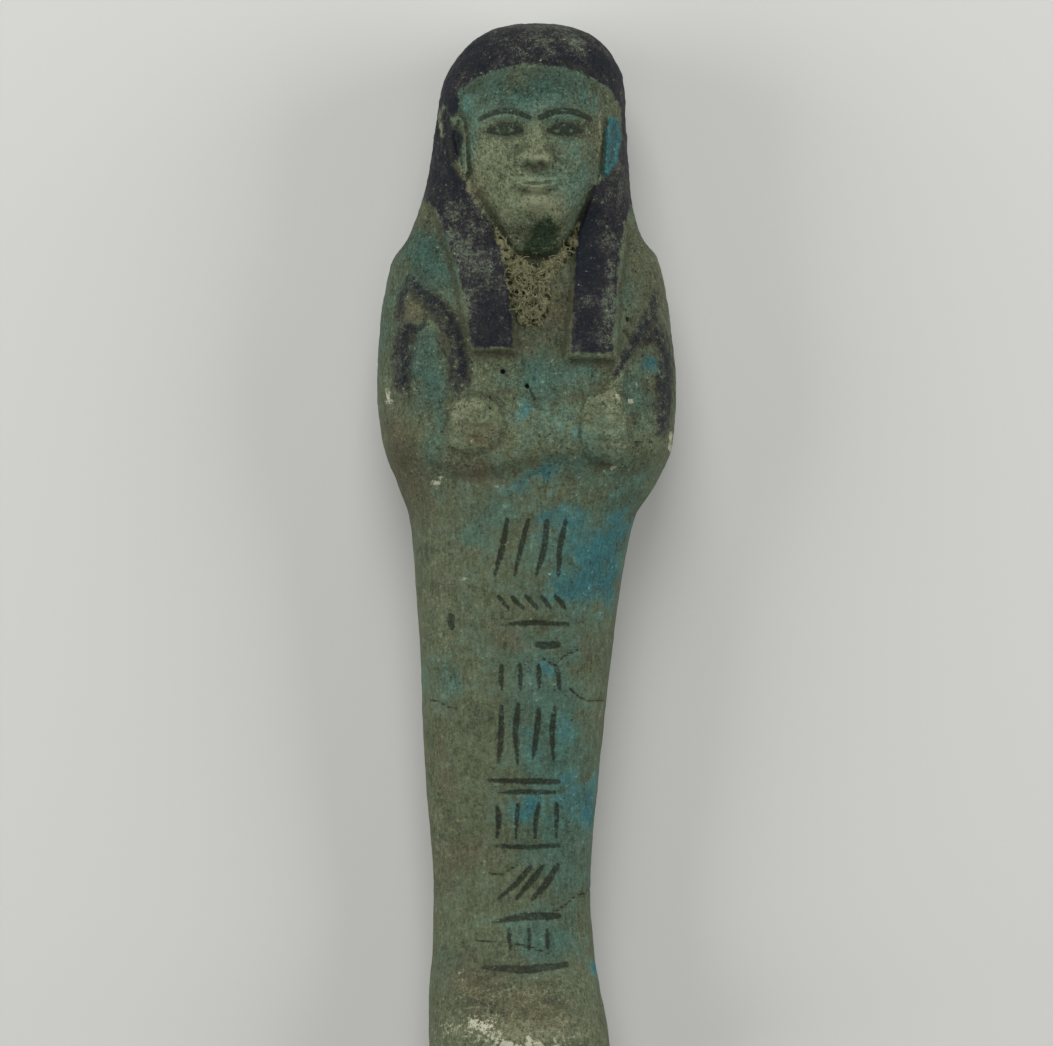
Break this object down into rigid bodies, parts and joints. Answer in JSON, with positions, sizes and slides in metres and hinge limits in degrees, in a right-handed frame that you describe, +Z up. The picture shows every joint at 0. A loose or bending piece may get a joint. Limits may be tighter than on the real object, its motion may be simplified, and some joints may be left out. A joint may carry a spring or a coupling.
{
  "type": "ushabti figurine",
  "caption": "Small mummy-shaped funerary figure of glazed faience with a long painted wig, crossed arms that hold hoes, and a column of painted strokes, lying on its back.",
  "frame": {"origin": "under the middle of the figure, on the surface that its back lies on", "axes": "+Y from the soles to the crown, +Z up out of the chest, +X to the right of someone who looks down at the face with the crown at the top"},
  "size_m": [0.033, 0.116, 0.0243],
  "materials": {
    "faience": "worn satin glaze, blue-green going to olive, with purple-black painted wig, hoes and strokes"
  },
  "bodies": {
    "root": {"ushabti_figure": "faience"}
  },
  "joints": []
}
